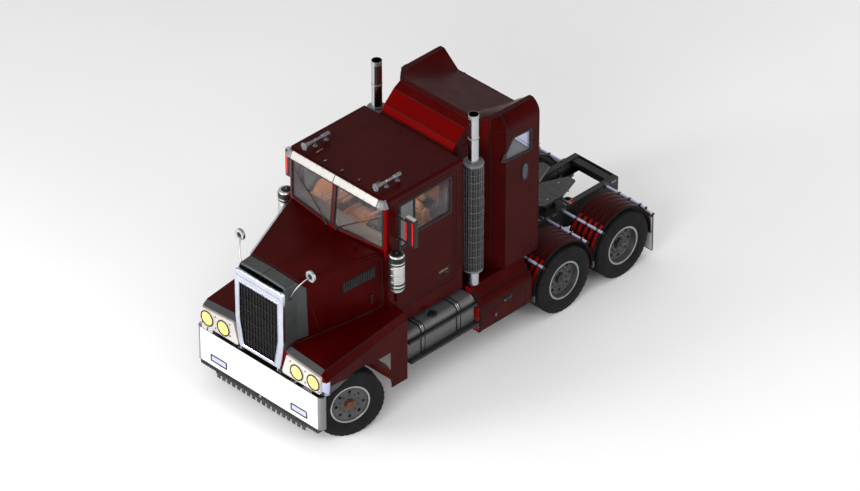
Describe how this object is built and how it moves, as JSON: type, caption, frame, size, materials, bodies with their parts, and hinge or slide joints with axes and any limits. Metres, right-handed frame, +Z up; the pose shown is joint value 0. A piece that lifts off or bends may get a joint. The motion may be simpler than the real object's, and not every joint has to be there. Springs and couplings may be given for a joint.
{
  "type": "semi truck tractor unit",
  "caption": "Conventional long-nose road tractor with a high-roof sleeper, tilting hood, opening doors, steered front wheels and a rocking fifth wheel.",
  "frame": {"origin": "on the ground under the middle of the overall length, on the centre plane", "axes": "+X to the truck's left, +Y to its rear, +Z up"},
  "size_m": [2.688, 6.745, 4],
  "materials": {
    "paint": "deep red gloss coat",
    "chassis": "satin black chassis paint",
    "engine": "rough cast",
    "black_metal": "satin black",
    "bumper_white": "gloss white",
    "lamp_glass": "clear",
    "tank_metal": "brushed",
    "glass": "tinted",
    "visor_grey": "satin warm grey",
    "seat_leather": "stitched",
    "dash_plastic": "grained",
    "bunk_fabric": "woven",
    "chrome": "polished",
    "stainless": "banded",
    "stack_steel": "polished",
    "flap_rubber": "smooth",
    "shell_grey": "satin dark grey",
    "lens_yellow": "clear over reflector",
    "mirror_black": "satin housing",
    "tyre": "matt",
    "rim": "satin grey",
    "plate_steel": "greased"
  },
  "bodies": {
    "chassis": {"frame": "chassis", "front_axle": "chassis", "suspension": "chassis", "drive_axles": "chassis", "propeller_shafts": "chassis", "engine_block": "engine", "radiator": "black_metal", "bumper": "bumper_white", "fog_lamps": "lamp_glass", "steps": "black_metal", "fuel_tanks": "tank_metal", "side_boxes": "paint", "cab_shell": "paint", "sleeper_shell": "paint", "fixed_glass": "glass", "visor": "visor_grey", "seats": "seat_leather", "dashboard": "dash_plastic", "bunk": "bunk_fabric", "horns": "chrome", "air_cleaners": "stainless", "exhaust_stacks": "stack_steel", "drive_fenders": "paint", "fender_bars": "chrome", "mud_flaps": "flap_rubber", "fifth_wheel_base": "black_metal"},
    "hood": {"hood": "paint", "grille_shell": "shell_grey", "grille_frame": "chrome", "grille_bars": "black_metal", "headlight_bezels": "visor_grey", "headlight_lenses": "lens_yellow", "hood_mirrors": "chrome"},
    "door_left": {"door_left": "paint", "door_glass_left": "glass", "door_mirror_left": "mirror_black"},
    "door_right": {"door_right": "paint", "door_glass_right": "glass", "door_mirror_right": "mirror_black"},
    "knuckle_left": {"knuckle_left": "chassis"},
    "knuckle_right": {"knuckle_right": "chassis"},
    "tie_rod": {"tie_rod": "chassis"},
    "wheel_front_left": {"tyre_front_left": "tyre", "rim_front_left": "rim"},
    "wheel_front_right": {"tyre_front_right": "tyre", "rim_front_right": "rim"},
    "fifth_wheel": {"fifth_wheel_plate": "plate_steel"},
    "wheels_drive_left_1": {"tyres_drive_left_1": "tyre", "rims_drive_left_1": "rim"},
    "wheels_drive_left_2": {"tyres_drive_left_2": "tyre", "rims_drive_left_2": "rim"},
    "wheels_drive_right_1": {"tyres_drive_right_1": "tyre", "rims_drive_right_1": "rim"},
    "wheels_drive_right_2": {"tyres_drive_right_2": "tyre", "rims_drive_right_2": "rim"}
  },
  "joints": [
    {"name": "hood_tilt", "type": "hinge", "parent": "chassis", "child": "hood", "pos_m": [0, -3.3275, 1], "axis": [1, 0, 0], "range_deg": [0, 75]},
    {"name": "door_left_swing", "type": "hinge", "parent": "chassis", "child": "door_left", "pos_m": [0.979, -1.6575, 2.3], "axis": [0, 0, -1], "range_deg": [0, 65]},
    {"name": "door_right_swing", "type": "hinge", "parent": "chassis", "child": "door_right", "pos_m": [-0.979, -1.6575, 2.3], "axis": [0, 0, 1], "range_deg": [0, 65]},
    {"name": "steer", "type": "hinge", "parent": "chassis", "child": "knuckle_left", "pos_m": [0.86, -2.6275, 0.52], "axis": [0, 0, 1], "range_deg": [-15, 55]},
    {"name": "steer_right", "type": "hinge", "parent": "chassis", "child": "knuckle_right", "pos_m": [-0.86, -2.6275, 0.52], "axis": [0, 0, 1], "range_deg": [-15, 55]},
    {"name": "tie_rod_pivot", "type": "hinge", "parent": "knuckle_left", "child": "tie_rod", "pos_m": [0.9284, -2.43956, 0.392], "axis": [0, 0, 1], "range_deg": [-55, 15]},
    {"name": "roll_front_left", "type": "hinge", "parent": "knuckle_left", "child": "wheel_front_left", "pos_m": [1.04794, -2.6959, 0.52], "axis": [0.9397, -0.342, 0], "continuous": true},
    {"name": "roll_front_right", "type": "hinge", "parent": "knuckle_right", "child": "wheel_front_right", "pos_m": [-1.04794, -2.5591, 0.52], "axis": [0.9397, -0.342, 0], "continuous": true},
    {"name": "roll_drive_left_1", "type": "hinge", "parent": "chassis", "child": "wheels_drive_left_1", "pos_m": [0.92, 1.4625, 0.52], "axis": [1, 0, 0], "continuous": true},
    {"name": "roll_drive_left_2", "type": "hinge", "parent": "chassis", "child": "wheels_drive_left_2", "pos_m": [0.92, 2.6725, 0.52], "axis": [1, 0, 0], "continuous": true},
    {"name": "roll_drive_right_1", "type": "hinge", "parent": "chassis", "child": "wheels_drive_right_1", "pos_m": [-0.92, 1.4625, 0.52], "axis": [1, 0, 0], "continuous": true},
    {"name": "roll_drive_right_2", "type": "hinge", "parent": "chassis", "child": "wheels_drive_right_2", "pos_m": [-0.92, 2.6725, 0.52], "axis": [1, 0, 0], "continuous": true},
    {"name": "fifth_wheel_rock", "type": "hinge", "parent": "chassis", "child": "fifth_wheel", "pos_m": [0, 2.0675, 1.14], "axis": [1, 0, 0], "range_deg": [-12, 12]}
  ],
  "couplings": [
    {"joint": "steer_right", "follows": "steer", "ratio": 1},
    {"joint": "tie_rod_pivot", "follows": "steer", "ratio": -1}
  ]
}
